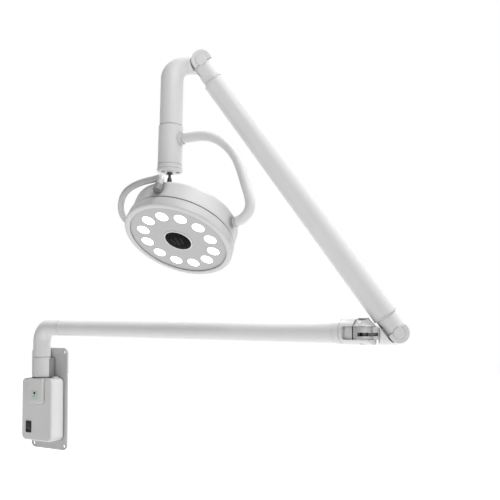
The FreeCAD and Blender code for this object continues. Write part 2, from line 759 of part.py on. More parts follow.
# ---------------------------------------------------------------- lamp elbow
def elbow_bend(wall):
    """Loft round the bend, from the stem's radius to the smaller hinge end's."""
    start_bend = abs(size("stem_x") - size("hook_x"))
    end_bend = size("hook_z") - size("bend_z")
    start_r, end_r = size("stem_od") / 2, size("hook_od") / 2
    steps = 6
    sections = []
    for k in range(steps + 1):
        t = k / steps
        angle = math.radians(180 - 90 * t)
        ease = t * t * (3 - 2 * t)
        bend = start_bend + (end_bend - start_bend) * ease
        radius = start_r + (end_r - start_r) * ease - wall
        centre = Vector(size("hook_x") + bend * math.cos(angle), 0,
                        size("bend_z") + bend * math.sin(angle))
        tangent = Vector(math.sin(angle), 0, -math.cos(angle))
        sections.append(Part.Wire([Part.Circle(centre, tangent, radius).toShape()]))
    return Part.makeLoft(sections, True, False)


def upper_elbow():
    """Hollow hook: a straight vertical tube and the tapering bend above it."""
    wall = (size("stem_od") - size("stem_id")) / 2
    foot = Vector(size("stem_x"), 0, size("stem_low"))
    length = size("bend_z") - size("stem_low")
    radius = size("stem_od") / 2
    straight = Part.makeCylinder(radius, length, foot)
    bore = Part.makeCylinder(radius - wall, length, foot)
    outer = straight.fuse(elbow_bend(0))
    return feature(outer.cut(bore.fuse(elbow_bend(wall))).removeSplitter())


def elbow_tongue():
    """Upper hinge tongue with a plug inside the elbow and the parallel rod's pin."""
    collar = cut(cyl("dims.hook_od/2", 25, "dims.hook_x+0.1", 0, "dims.hook_z", "x"),
                 cyl("dims.cheek_high_r+dims.saddle_gap", 80, 0, -40, 0, "y"))
    plug = cyl("dims.hook_od/2-4.2", 7, "dims.hook_x-4", 0, "dims.hook_z", "x")
    tongue = fuse(
        cyl("dims.cheek_high_r-0.6", "2*dims.tongue_half", 0, "-dims.tongue_half", 0, "y"),
        box(26.7, "2*dims.tongue_half", 23.5, -26.7, "-dims.tongue_half", -17.5))
    # Clearances for the raised arm, then the slot for the parallel rod. The rod's pin
    # sits at the same offset from this hinge as from the lower one.
    raised = at(rotation=about_y(size("lift") + 12.6 - size("lean")))
    rod_pin = F_ELBOW.Rotation.inverted().multVec(F_LINK.Rotation.multVec(ROD_OFFSET))
    rod_frame = Placement(rod_pin, about_y(MID_LIFT - size("lean")))
    half_tongue = size("tongue_half")
    clearances = [
        framed_box(raised, (90, 30, 60), (0, half_tongue, -21.5)),
        framed_box(raised, (90, 30, 60), (0, -half_tongue - 30, -21.5)),
        framed_box(raised, (90, 30, 60), (23.5, -15, -25)),
        framed_box(rod_frame, (60, 6.4, 10.4), (-5.8, -3.2, -5.2)),
    ]
    body = cut(fuse(collar, tongue, plug), *clearances,
               cyl("dims.hinge_pin_r+dims.run_fit", 60, 0, -30, 0, "y"))
    pin = placed(cyl("dims.rod_pin_r", 12), Placement(rod_pin + Vector(0, -6, 0), AXES["y"]))
    return fuse(body, pin)


def stem_spindle():
    return flanged_spindle(4, driven("stem_spindle_r"), -196, driven("stem_low"), 19, -92)


# ---------------------------------------------------------------- lamp stem and yoke
CAP_SCREWS = polar(16.5, (15, 135, 255))


def swivel_sleeve():
    inner, outer = half("sleeve_id"), half("sleeve_od")
    return turned([(inner, -122.6), (half("sleeve_od", -0.6), -122.6), (outer, -123.3),
                   (outer, driven("sleeve_low")), (inner, driven("sleeve_low"))])


def sleeve_bushes():
    return group(bush("dims.sleeve_id/2", 22, -146, "dims.stem_spindle_r", -150),
                 bush("dims.sleeve_id/2", 20, -195, "dims.stem_spindle_r", -200))


def sleeve_collar():
    outer = half("collar_od")
    return turned([(12.5, -205.6), (outer, -205.6), (outer, -198.2), (23.4, -197.4),
                   (12.5, -197.4)])


def bottom_cap():
    low, outer = driven("cap_low"), half("cap_od")
    cap = turned([(3.3, low), (22.6, low), (outer, -209.8), (outer, -206.8),
                  (24.2, -206.0), (3.3, -206.0)])
    return cut(cap, *[cyl(2.0, 20, x, y, -220) for x, y in CAP_SCREWS])


def cap_screws():
    return group(*[cut(fuse(cyl(3.2, 2.0, x, y, -214), cyl(1.9, 5, x, y, -212)),
                       cyl(1.5, 1.2, x, y, -214.2)) for x, y in CAP_SCREWS])


def lock_nut():
    """Round nut with two flats, under the cap."""
    low = -216.2
    return cut(common(cyl(5.3, 4, 0, 0, low), box(9.4, 12, 4, -4.7, -6, low)),
               cyl(2.65, 10, 0, 0, -220))


def lock_pin():
    return turned([(0, -243), (3.6, -243), (4.6, -241.6), (4.6, -226.5), (3.6, -223),
                   (2.6, -221.5), (2.6, -207), (0, -207)])


# Yoke centre line, (x, z) from the sleeve's side round to the head's pivot.
YOKE_POINTS = [
    (23.2, -149), (45, -147.6), (70, -147.6), (96, -153.5), (121, -169), (141, -191),
    (153.5, -216), (164, -245), (172.5, -271), (172.5, -290), (162.5, -304), (145.6, -311.6),
]


def yoke_shape(wall=0):
    """C-shaped yoke; solid when no wall is given."""
    curve = spline([(x, 0, z) for x, z in YOKE_POINTS], Vector(1, 0, 0.08), Vector(-1, 0, -0.22))
    radius = size("yoke_tube") / 2
    return pipe(Part.Wire([curve]), radius, radius - wall if wall else 0)


def yoke_tube():
    sleeve = Part.makeCylinder(size("sleeve_od") / 2, 100, Vector(0, 0, -200))
    return feature(yoke_shape(wall=2).cut(sleeve))


def yoke_collar():
    return cut(cyl(11.4, 8, 20, 0, -149, "x"), cyl("dims.sleeve_od/2", 100, 0, 0, -200),
               feature(yoke_shape()))


def pivot_shaft():
    """Shaft at the yoke's end that turns in the head's side boss."""
    shaft = fuse(cyl("dims.pivot_shaft_r", 34, 108, 0, "dims.pivot_z", "x"),
                 cyl(9.6, 6, 142, 0, "dims.pivot_z", "x"),
                 cyl(8.6, 3, 110, 0, "dims.pivot_z", "x"))
    return cut(shaft, feature(yoke_shape()))


# ---------------------------------------------------------------- lamp head
# The light leaves towards the head's -z side, called its front.
BACK_SCREWS = polar(82, (45, 135, 225, 315))
LED_CENTRES = polar(size("led_ring"), [30 * k for k in range(12)])


def rear_housing():
    """Cup-shaped shell with a side boss for the pivot."""
    outer, inner = driven("shell_r"), difference("shell_r", "shell_wall")
    back, inside = driven("shell_back"), difference("shell_back", "shell_wall")
    front = -21.3
    shell = turned([(0, back), (outer, back), (outer, front), (inner, front),
                    (inner, inside), (0, inside)])
    for radius, z, fillet in ((outer, back, 8.0), (inner, inside, 5.5)):
        body_fillet(shell, fillet, lambda e: (
            is_circle(e) and abs(e.Curve.Radius - number(radius)) < 0.1
            and abs(e.CenterOfMass.z - number(z)) < 0.1))
    boss = cyl(11, 5, 97, 0, 0, "x")
    return cut(fuse(shell, boss), cyl(8.0, 20, 90, 0, 0, "x"),
               *[cyl(1.9, 10, x, y, 12) for x, y in BACK_SCREWS])


def pivot_bush():
    return cut(fuse(cyl(8.0, 8, 94, 0, 0, "x"), cyl(9.8, 1.4, 102.0, 0, 0, "x")),
               cyl("dims.pivot_shaft_r+dims.run_fit", 20, 90, 0, 0, "x"))


def housing_screws():
    return group(*[cut(fuse(cyl(3.6, 2.0, x, y, 17), cyl(1.8, 6, x, y, 11)),
                       cyl(1.6, 1.4, x, y, 17.8)) for x, y in BACK_SCREWS])


def front_bezel():
    rim_in, rim_r, front = driven("rim_in"), driven("rim_r"), driven("rim_front")
    band_r, band_back = driven("band_r"), driven("band_back")
    return turned([
        (rim_in, -38.4), (rim_in, -42.6), (95.0, front), (100.6, front), (102.9, -43.1),
        (104.1, -41.9), (rim_r, -40.2), (rim_r, -39.4), (band_r, -38.8), (band_r, -24.1),
        (103.0, band_back), (98.9, band_back), (98.9, -18), (96.4, -18), (96.4, -34.5),
        (90, -34.5), (90, -38.4)])


def bezel_gasket():
    return ring(100.4, 98.9, -23.45, -21.35)


def face_plate():
    """Disc with a centre hole and one hole for each lens."""
    lens_hole = driven("led_r", offset=0.15)
    circles = [(0, 0, 93.5), (0, 0, 27.2)] + [(x, y, lens_hole) for x, y in LED_CENTRES]
    return padded([], circles, 2.5, plane="XY_Plane", shift=size("led_plane"))


def lens_array():
    rim = driven("led_r")
    lens = turned([(0, -41.6), (7, -41.5), (10.6, -41.2), (rim, -40.6), (rim, -38.6),
                   (10.8, -38.2), (5.2, -30.4), (3.4, -30.4), (3.2, -33.5), (0, -34.2)])
    return group(*[placed(feature(lens.Shape.copy()), at(x, y)) for x, y in LED_CENTRES])


def led_board():
    return padded([], [(0, 0, 87), (0, 0, 20)], 1.6, plane="XY_Plane", shift=-27.2)


def led_emitters():
    side = 5
    return group(*[box(side, side, 1.6, x - side / 2, y - side / 2, -28.8)
                   for x, y in LED_CENTRES])


def heat_sink():
    """Disc with 13 fins on its back, trimmed to the disc's outline."""
    radius, low = 86, -25.6
    fins = [box(1.6, 116, 9, -57 + 9.3 * i, -58, low + 4) for i in range(13)]
    return common(fuse(cyl(radius, 4, 0, 0, low), *fins), cyl(radius, 40, 0, 0, -30))


def driver_board():
    """Board with three components on its back and four posts on its front."""
    top = -4.4
    return fuse(box(70, 50, 1.6, -45, -25, -6), box(16, 14, 9, -40, -18, top),
                box(12, 12, 7, -10, 4, top), cyl(5, 10, 14, -12, top),
                *[cyl(2, 6.6, x, y, -12.6) for x in (-40, 20) for y in (-20, 20)])


def centre_window():
    rim = driven("window_r")
    return turned([(0, -42.6), (16, -42.4), (23, -41.9), (rim, -41.3), (rim, -38.7), (0, -38.7)])


def window_ring():
    return turned([(25.15, -38.7), (27.0, -38.7), (27.0, -41.0), (28.6, -41.05),
                   (28.2, -41.7), (26.6, -42.2), (25.6, -42.0), (25.15, -41.5)])


# Half of the handle's centre line, (x, y), from the +y leg to just short of the middle.
HANDLE_HALF = [(-37, 99.5), (-72, 89.5), (-104, 71.5), (-129, 45), (-144.5, 18)]
HANDLE_MIDDLE_X = -148.5
HANDLE_BEND = 12.5


def handle_leg(side):
    """Points of one leg, straight then a quarter bend, and its direction at the end."""
    leg_y = side * size("handle_leg")
    direction = Vector(-0.961, side * -0.276, 0)
    foot = Vector(0, leg_y, -8)
    bend_start = Vector(0, leg_y, size("handle_z") - HANDLE_BEND)
    centre = bend_start + direction * HANDLE_BEND
    bend_middle = (centre + direction * (-HANDLE_BEND * math.cos(math.pi / 4))
                   + Vector(0, 0, HANDLE_BEND * math.sin(math.pi / 4)))
    bend_end = centre + Vector(0, 0, HANDLE_BEND)
    return foot, bend_start, bend_middle, bend_end, direction


def handle_tube():
    """D-shaped tube whose two ends turn forward onto the feet."""
    foot_a, start_a, middle_a, end_a, direction_a = handle_leg(1)
    foot_b, start_b, middle_b, end_b, direction_b = handle_leg(-1)
    z = size("handle_z")
    points = [end_a, *[(x, y, z) for x, y in HANDLE_HALF], (HANDLE_MIDDLE_X, 0, z),
              *[(x, -y, z) for x, y in reversed(HANDLE_HALF)], end_b]
    wire = Part.Wire([
        Part.makeLine(foot_a, start_a),
        Part.Arc(start_a, middle_a, end_a).toShape(),
        spline(points, direction_a, direction_b * -1),
        Part.Arc(end_b, middle_b, start_b).toShape(),
        Part.makeLine(start_b, foot_b),
    ])
    radius = size("handle_tube") / 2
    return feature(pipe(wire, radius, radius - 1.6))


def handle_feet():
    feet = []
    for side in (1, -1):
        y = side * size("handle_leg")
        cup = rounded(cyl(7.9, 13, 0, y, -14), 1.2,
                      lambda e: is_circle(e) and e.CenterOfMass.z < -13.9)
        feet.append(cut(cup, cyl("dims.handle_tube/2+0.05", 20, 0, y, -8.1),
                        cyl("dims.shell_r", 60, 0, 0, -30)))
    return group(*feet)


# ---------------------------------------------------------------- assembly
# Each frame with its pieces; a piece's label is its function's name.
PIECES = [
    (F_WALL, [wall_plate, column_bracket]),
    (F_COLUMN, [column_tube, column_seal, column_bushes]),
    (F_WALL, [box_cover, tongue_cover, indicator_panel, status_window, indicator_lens,
              rocker_bezel]),
    (F_ROCKER, [rocker]),
    (F_WALL, [power_supply]),
    (F_GLAND, [cable_gland]),
    (F_WALL, [box_screws]),
    (F_ARM, [lower_elbow, swivel_spindle, horizontal_tube, arm_end_fork, knuckle_pin]),
    (F_LINK, [knuckle_barrel, link_body]),
    (F_SPRING, [spring_arm_tube, lower_end_fitting]),
    (F_TOP, [upper_end_fitting]),
    (F_SPRING, [trim_rings, hinge_pins, hinge_caps, balance_spring, spring_seat]),
    (F_ROD, [parallel_rod]),
    (F_SPRING, [balance_rod]),
    (F_ELBOW, [upper_elbow, elbow_tongue]),
    (F_STEM, [stem_spindle]),
    (F_YOKE, [swivel_sleeve, sleeve_bushes, sleeve_collar, bottom_cap, cap_screws, lock_nut,
              lock_pin, yoke_tube, yoke_collar, pivot_shaft]),
    (F_HEAD, [rear_housing, pivot_bush, housing_screws, front_bezel, bezel_gasket, face_plate,
              lens_array, led_board, led_emitters, heat_sink, driver_board, centre_window,
              window_ring, handle_tube, handle_feet]),
]

parts = []
for frame, builders in PIECES:
    for build in builders:
        piece = build()
        piece.Label = build.__name__
        piece.Placement = frame.multiply(piece.Placement)
        parts.append(piece)
doc.recompute()

# ---------------------------------------------------------------- check and write
failed = [obj.Name + " " + obj.Label for obj in doc.Objects
          if any(state in ("Invalid", "Error") for state in obj.State)]
if failed:
    raise RuntimeError("failed objects: " + ", ".join(failed))
for piece in parts:
    shape = piece.Shape
    if shape.isNull() or not shape.isValid() or not shape.Solids or shape.Volume <= 0:
        raise RuntimeError("bad shape: " + piece.Label)

os.makedirs("parts", exist_ok=True)
labels = [piece.Label for piece in parts]
for name in os.listdir("parts"):
    if name.endswith(".step") and name[:-5] not in labels:
        os.remove(os.path.join("parts", name))
for piece in parts:
    piece.Shape.exportStep(os.path.join("parts", piece.Label + ".step"))
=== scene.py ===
# A lamp head with a ring of twelve lights, hung by a stem and arms from a wall mount.
# Metres, z up. The wall mount is at the origin; the head is near (0.64, -0.29, 0.40), and its
# lit face looks along its own -z, which is down and toward -y.
import bpy
import bmesh
import json
import math
import random
from mathutils import Vector, Matrix


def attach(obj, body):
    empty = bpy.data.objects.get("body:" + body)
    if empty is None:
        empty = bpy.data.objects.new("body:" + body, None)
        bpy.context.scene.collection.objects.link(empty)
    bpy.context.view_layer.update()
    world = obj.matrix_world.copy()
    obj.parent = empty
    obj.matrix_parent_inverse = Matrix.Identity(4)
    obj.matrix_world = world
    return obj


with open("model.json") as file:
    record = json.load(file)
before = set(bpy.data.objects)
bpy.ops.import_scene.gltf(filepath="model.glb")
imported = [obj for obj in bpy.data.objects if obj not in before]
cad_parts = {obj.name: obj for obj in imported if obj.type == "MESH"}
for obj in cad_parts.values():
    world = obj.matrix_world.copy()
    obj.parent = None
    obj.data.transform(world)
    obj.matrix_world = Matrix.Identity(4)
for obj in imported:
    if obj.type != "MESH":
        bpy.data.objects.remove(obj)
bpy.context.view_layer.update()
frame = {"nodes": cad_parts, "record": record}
nodes, record = frame["nodes"], frame["record"]
random.seed(7)

TAU = 2 * math.pi

# ------------------------------------------------------------------ frames of the parts


def part_frame(origin, x, y, z):
    """Matrix from a part's own axes to the world."""
    return Matrix((*zip(x, y, z, origin), (0, 0, 0, 1)))


HEAD_ORIGIN = Vector((0.6438919, -0.2871836, 0.3958677))
HEAD_Z = Vector((-0.02001, 0.54626, 0.83738))
SWUNG_X = (0.99719, 0.07138, -0.02273)  # x axis shared by the head and the stem

WALL = Matrix.Identity(4)
HEAD = part_frame(HEAD_ORIGIN, SWUNG_X, (-0.07219, 0.83457, -0.54615), HEAD_Z)
STEM = part_frame((0.6138704, -0.2865308, 0.7086157), SWUNG_X,
                  (-0.0716, 0.99739, -0.00895), (0.02203, 0.01056, 0.9997))

# ------------------------------------------------------------------ shader helpers

MATERIALS = {}


def grey(value):
    return (value,) * 3


def scaled(colour, factor, lift=0.0):
    return tuple(min(1, x * factor + lift) for x in colour)


class Net:
    """A node tree, with a method for each node that is used often."""

    def __init__(self, owner):
        owner.use_nodes = True
        self.tree = owner.node_tree
        self.tree.nodes.clear()

    def feed(self, socket, value):
        """Links an output to the socket, or sets a value; a colour gets an alpha of 1."""
        if isinstance(value, bpy.types.NodeSocket):
            self.tree.links.new(value, socket)
        elif socket.type == "RGBA":
            socket.default_value = (*value, 1)
        else:
            socket.default_value = value

    def node(self, kind, inputs=None, **settings):
        node = self.tree.nodes.new("ShaderNode" + kind)
        for key, value in settings.items():
            setattr(node, key, value)
        for key, value in (inputs or {}).items():
            self.feed(node.inputs[key], value)
        return node

    def ramp(self, value, within=(0.3, 0.7), onto=(0.0, 1.0), **settings):
        """Maps one range onto another; the default input is the middle of a noise's range."""
        return self.node("MapRange", {
            0: value,
            "From Min": within[0], "From Max": within[1],
            "To Min": onto[0], "To Max": onto[1],
        }, **settings).outputs[0]

    def math(self, operation, *values):
        return self.node("Math", dict(enumerate(values)), operation=operation).outputs[0]

    def multiply(self, a, b):
        return self.math("MULTIPLY", a, b)

    def invert(self, mask):
        return self.math("SUBTRACT", 1.0, mask)

    def dot(self, a, b):
        return self.node("VectorMath", {0: a, 1: b}, operation="DOT_PRODUCT").outputs["Value"]

    def mix(self, mask, base, other, strength=None):
        """Base colour where the mask is 0, the other where it is 1, scaled by strength."""
        if strength is not None:
            mask = self.multiply(mask, strength)
        return self.node("Mix", {0: mask, 6: base, 7: other}, data_type="RGBA").outputs[2]


class Surface(Net):
    """A material built round one Principled shader, textured in object coordinates."""

    def __init__(self, name):
        self.name = name
        self.material = bpy.data.materials.new(name)
        super().__init__(self.material)
        output = self.node("OutputMaterial")
        self.shader = self.node("BsdfPrincipled")
        self.feed(output.inputs[0], self.shader.outputs[0])
        self.coords = self.node("TexCoord").outputs["Object"]

    def finish(self, inputs):
        """Feeds the shader and files the material under its name."""
        for key, value in inputs.items():
            self.feed(self.shader.inputs[key], value)
        MATERIALS[self.name] = self.material
        return self.material

    def noise(self, scale, detail=4.0, rough=0.55, stretch=None):
        source = self.coords
        if stretch:
            source = self.node("Mapping", {0: source, "Scale": stretch}).outputs[0]
        return self.node("TexNoise", {"Scale": scale, "Detail": detail, "Roughness": rough,
                                      "Vector": source}).outputs["Fac"]

    def cells(self, scale, **settings):
        return self.node("TexVoronoi", {"Scale": scale, "Vector": self.coords},
                         **settings).outputs["Distance"]

    def rounded(self, radius):
        """Surface normal with its edges rounded off."""
        return self.node("Bevel", {"Radius": radius}, samples=4).outputs[0]

    def edges(self, rounded):
        """1 on sharp edges, where the rounded normal leaves the true one."""
        true = self.node("NewGeometry").outputs["Normal"]
        return self.ramp(self.invert(self.dot(rounded, true)), within=(0.02, 0.25))

    def occlusion_shade(self, distance, within=(0.35, 0.95)):
        """1 in inner corners, found by ambient occlusion; the mask for painted shade."""
        occlusion = self.node("AmbientOcclusion", {"Distance": distance}, samples=6)
        return self.invert(self.ramp(occlusion.outputs["AO"], within=within))

    def bump(self, height, strength, distance, normal=None):
        inputs = {"Strength": strength, "Distance": distance, "Height": height}
        if normal is not None:
            inputs["Normal"] = normal
        return self.node("Bump", inputs).outputs[0]


# ------------------------------------------------------------------ kinds of material


def head_painted_shade(net, colour):
    """Painted shade: a dark shadow line beside the head's groove, and a darker side wall
    between groove and lit face.
    """
    groove_z = -0.0224
    z = net.math("SUBTRACT", net.dot(net.coords, HEAD_Z), HEAD_ORIGIN.dot(HEAD_Z))
    off_groove = net.math("ABSOLUTE", net.math("SUBTRACT", z, groove_z))
    # painted shadow line along the groove, broken up by noise
    near = net.ramp(off_groove, within=(0.0009, 0.0034), onto=(0.62, 0.0))
    shade_breakup = net.ramp(net.noise(scale=150.0), onto=(0.85, 1.0))
    colour = net.mix(net.multiply(near, shade_breakup), colour, (0.10, 0.10, 0.102))

    # painted shade on the side wall, which faces sideways behind the groove
    normal = net.node("TexCoord").outputs["Normal"]
    facing_out = net.ramp(net.dot(normal, -HEAD_Z), within=(0.05, 0.7))
    past_groove = net.ramp(z, within=(-0.0215, -0.0235))
    wall = net.multiply(net.invert(facing_out), past_groove)
    return net.mix(wall, colour, grey(0.365), strength=0.24)


def painted(name, colour, rough=0.38, shade_factor=0.55, coat=0.25, grain=900.0, grain_depth=0.00006,
            tone=0.03, shade_reach=0.006, head=False):
    """Powder coat: orange-peel grain, slow tone drift, rubbed edges, painted shade in the
    joints.
    """
    net = Surface(name)
    drift = net.ramp(net.noise(scale=5.0, detail=3.0))
    smear = net.ramp(net.noise(scale=38.0, detail=6.0, rough=0.65, stretch=(1, 1, 0.35)),
                     within=(0.42, 0.72))
    paint = net.mix(drift, scaled(colour, 1 - tone), scaled(colour, 1 + tone * 0.6))
    smear_tint = (0.93, 0.925, 0.90)  # slightly warm
    smeared = tuple(x * tint for x, tint in zip(colour, smear_tint))
    paint = net.mix(smear, paint, smeared, strength=0.16)

    rounded = net.rounded(radius=0.0011)
    edges = net.edges(rounded)
    speck = net.ramp(net.noise(scale=420.0, detail=3.0, rough=0.6), within=(0.52, 0.66))
    rubbed = grey(min(1, colour[0] * 1.08))
    paint = net.mix(net.multiply(edges, speck), paint, rubbed, strength=0.35)
    # painted shade: darker paint in joints and inner corners, found by ambient occlusion
    paint = net.mix(net.occlusion_shade(shade_reach), paint, scaled(colour, shade_factor))
    # painted shade on the lamp head's groove and side wall
    if head:
        paint = head_painted_shade(net, paint)

    patchy = net.ramp(net.noise(scale=60.0, detail=5.0), onto=(rough - 0.05, rough + 0.07))
    peel = net.noise(scale=grain, detail=2.0, rough=0.5)
    return net.finish({
        "Base Color": paint,
        "Roughness": net.math("ADD", patchy, net.multiply(smear, 0.05)),
        "Coat Weight": coat,
        "Coat Roughness": 0.22,
        "Specular IOR Level": 0.45,
        "Normal": net.bump(peel, strength=0.35, distance=grain_depth, normal=rounded),
    })


def metal(name, colour, rough=0.28, brush=(1, 1, 60), tarnish=(0.30, 0.29, 0.28),
          stained=0.25, edge_bright=0.5):
    """Bare metal: brushed hairlines, tarnish blots, bright edges, painted shade (near black)
    in the corners.
    """
    net = Surface(name)
    hair = net.noise(scale=40.0, detail=8.0, rough=0.7, stretch=brush)
    blots = net.ramp(net.noise(scale=24.0, detail=5.0, rough=0.6), within=(0.5, 0.8))
    tint = net.mix(blots, colour, tarnish, strength=stained)
    tint = net.mix(net.ramp(hair, onto=(0.0, 0.22)), tint, scaled(colour, 0.7))
    rounded = net.rounded(radius=0.0007)
    tint = net.mix(net.edges(rounded), tint, scaled(colour, 1.3), strength=edge_bright)
    # painted shade: near black where ambient occlusion finds corners and slits
    corners = net.occlusion_shade(0.012, within=(0.15, 0.75))
    tint = net.mix(corners, tint, scaled(colour, 0.06))
    return net.finish({
        "Base Color": tint,
        "Metallic": 1.0,
        "Roughness": net.ramp(hair, within=(0.25, 0.75), onto=(rough - 0.07, rough + 0.12)),
        "Normal": net.bump(hair, strength=0.25, distance=0.00004, normal=rounded),
    })


def plastic(name, colour, rough=0.42, grain=2400.0, tone=0.03, shade_factor=0.5):
    """Moulded plastic: spark-eroded texture, faint flow marks, painted shade in corners."""
    net = Surface(name)
    flow = net.ramp(net.noise(scale=7.0, rough=0.5, stretch=(1, 1, 0.4)))
    tint = net.mix(flow, scaled(colour, 1 - tone), scaled(colour, 1 + tone))
    rounded = net.rounded(radius=0.0009)
    worn = scaled(colour, 1.12, lift=0.02)
    tint = net.mix(net.edges(rounded), tint, worn, strength=0.22)
    # painted shade in inner corners, found by ambient occlusion
    tint = net.mix(net.occlusion_shade(0.005), tint, scaled(colour, shade_factor))
    pits = net.cells(scale=grain)
    return net.finish({
        "Base Color": tint,
        "Roughness": net.ramp(net.noise(scale=90.0), onto=(rough - 0.06, rough + 0.06)),
        "Coat Weight": 0.0,
        "Coat Roughness": 0.08,
        "Normal": net.bump(pits, strength=0.3, distance=0.00004, normal=rounded),
    })


def circuit(name):
    """Green board, darker along the borders of its cells."""
    net = Surface(name)
    track = net.ramp(net.cells(scale=160, feature="DISTANCE_TO_EDGE"), within=(0.02, 0.06))
    return net.finish({
        "Base Color": net.mix(track, (0.02, 0.13, 0.05), (0.035, 0.21, 0.085)),
        "Roughness": 0.3,
        "Normal": net.bump(track, strength=0.4, distance=0.00003),
    })


def glow(name, colour, power):
    """Lit lens."""
    net = Surface(name)
    mottle = net.ramp(net.noise(scale=260.0, detail=3.0), onto=(0.96, 1.0))
    tint = net.mix(mottle, tuple(x * 0.9 for x in colour), colour)
    ripple = net.noise(scale=1800.0, detail=2.0)
    return net.finish({
        "Base Color": tint,
        "Emission Color": tint,
        "Emission Strength": power,
        "Roughness": 0.2,
        "Normal": net.bump(ripple, strength=0.2, distance=0.00002),
    })


def gloss_black(name, ior):
    """Dark window with faint smears."""
    net = Surface(name)
    smear = net.ramp(net.noise(scale=30.0, detail=6.0, rough=0.7), within=(0.45, 0.8))
    ripple = net.noise(scale=500.0, detail=2.0)
    return net.finish({
        "Base Color": net.mix(smear, (0.003, 0.003, 0.0035), (0.009, 0.009, 0.010)),
        "Roughness": net.math("ADD", 0.12, net.multiply(smear, 0.10)),
        "IOR": ior,
        "Normal": net.bump(ripple, strength=0.05, distance=0.00002,
                           normal=net.rounded(radius=0.0008)),
    })


def pale_floor(name):
    """Near-white floor; it glows fully to the camera and weakly to everything else."""
    net = Surface(name)
    seen = net.node("LightPath").outputs["Is Camera Ray"]
    return net.finish({
        "Roughness": 0.8,
        "Base Color": net.mix(net.ramp(net.noise(scale=3.0, detail=3.0)),
                              grey(0.88), grey(0.91)),
        "Emission Color": grey(1),
        "Emission Strength": net.ramp(seen, within=(0, 1), onto=(0.27, 1.0)),
    })


# ------------------------------------------------------------------ materials

WHITE = grey(0.81)
WINDOW_IOR = 1.12  # low, so that the dark window and its print reflect little

painted("powder_white", WHITE)
plastic("white_plastic", grey(0.785))
painted("face_grey", grey(0.56), rough=0.45, coat=0.1, grain=1400, shade_factor=0.6)
plastic("pale_green_plastic", (0.66, 0.72, 0.66), rough=0.35, grain=3000)
plastic("black_plastic", (0.012, 0.012, 0.013), rough=0.35, tone=0.3)
plastic("rubber", grey(0.035), rough=0.7, tone=0.25)
metal("steel", (0.60, 0.60, 0.61))
metal("spring_steel", (0.26, 0.25, 0.25), rough=0.34)
metal("dark_chrome", (0.16, 0.16, 0.165), rough=0.16, stained=0.4, tarnish=grey(0.05))
metal("bronze", (0.50, 0.34, 0.16), rough=0.4)
metal("aluminium", (0.74, 0.745, 0.75), rough=0.3, brush=(40, 1, 1))
circuit("circuit_board")
glow("clear_lens", grey(1.0), power=1.6)
glow("led_white", (1.0, 0.98, 0.9), power=4.0)
glow("green_lens", (0.02, 0.26, 0.07), power=0.25)
gloss_black("black_gloss", ior=WINDOW_IOR)
metal("barrel_metal", (0.90, 0.90, 0.91), rough=0.36, stained=0.12, edge_bright=0.3)
# Darker copies of the white paint for the head, pivot shaft and handle: painted shade,
# standing in for the dimmer light on the head.
painted("housing_white_painted_shade", grey(0.69), grain=1100.0, shade_factor=0.35, shade_reach=0.013, head=True)
painted("bezel_white_painted_shade", grey(0.715), grain=1000.0, shade_factor=0.35, shade_reach=0.010, head=True)
painted("shaft_white_painted_shade", grey(0.675), grain=1000.0)
# dark grey paint standing in for the shade on the handle's feet
painted("foot_painted_shade", (0.27, 0.273, 0.277), rough=0.34, coat=0.3, tone=0.08)
painted("handle_white_painted_shade", grey(0.565), rough=0.30, coat=0.4)
# dark grey paint standing in for the shade between the column and the wall plate
painted("bracket_painted_shade", (0.30, 0.303, 0.307), rough=0.5, coat=0.05)
painted("plate_grey", grey(0.575), rough=0.42, coat=0.15)

faint_print = plastic("faint_print", (0.032, 0.032, 0.033), rough=0.40, tone=0.25, shade_factor=0.8)
faint_print.node_tree.nodes["Principled BSDF"].inputs["IOR"].default_value = WINDOW_IOR

for name, colour, rough in (
    ("weld", scaled(WHITE, 0.97), 0.46),
    # the bracket's weld beads, in the same dark painted shade as the bracket
    ("weld_grey", (0.33, 0.333, 0.337), 0.5),
):
    painted(name, colour, rough=rough, grain=1500.0, grain_depth=0.00010, tone=0.06,
            shade_reach=0.003)

# CAD pieces whose look differs from that of their material slot.
OWN_MATERIAL = {
    "column_bracket": "bracket_painted_shade",
    "pivot_shaft": "shaft_white_painted_shade",
    "knuckle_barrel": "barrel_metal",
    "rear_housing": "housing_white_painted_shade",
    "front_bezel": "bezel_white_painted_shade",
    "handle_tube": "handle_white_painted_shade",
    "handle_feet": "foot_painted_shade",
}
slot_of = {part["node"]: part["material_slot"] for part in record["subparts"]}
for name, obj in nodes.items():
    obj.data.materials.clear()
    obj.data.materials.append(MATERIALS[OWN_MATERIAL.get(name, slot_of[name])])

# ------------------------------------------------------------------ mesh helpers


def add_object(name, data):
    obj = bpy.data.objects.new(name, data)
    bpy.context.scene.collection.objects.link(obj)
    return obj


def piece(name, bm, at, body, material):
    """Makes an object from millimetres in the given frame and rides it on a body."""
    bmesh.ops.recalc_face_normals(bm, faces=bm.faces)
    for vert in bm.verts:
        vert.co = at @ (vert.co * 0.001)
    mesh = bpy.data.meshes.new(name)
    bm.to_mesh(mesh)
    bm.free()
    for face in mesh.polygons:
        face.use_smooth = True
    mesh.materials.append(MATERIALS[material])
    obj = add_object(name, mesh)
    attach(obj, body)


def loft(bm, rows, closed):
    """Skins loops of points; closed joins the last loop to the first, else both are capped."""
    loops = [[bm.verts.new(point) for point in row] for row in rows]
    count = len(loops[0])
    for i in range(len(loops) if closed else len(loops) - 1):
        a, b = loops[i], loops[(i + 1) % len(loops)]
        for j in range(count):
            k = (j + 1) % count
            bm.faces.new((a[j], a[k], b[k], b[j]))
    if not closed:
        bm.faces.new(loops[0])
        bm.faces.new(list(reversed(loops[-1])))


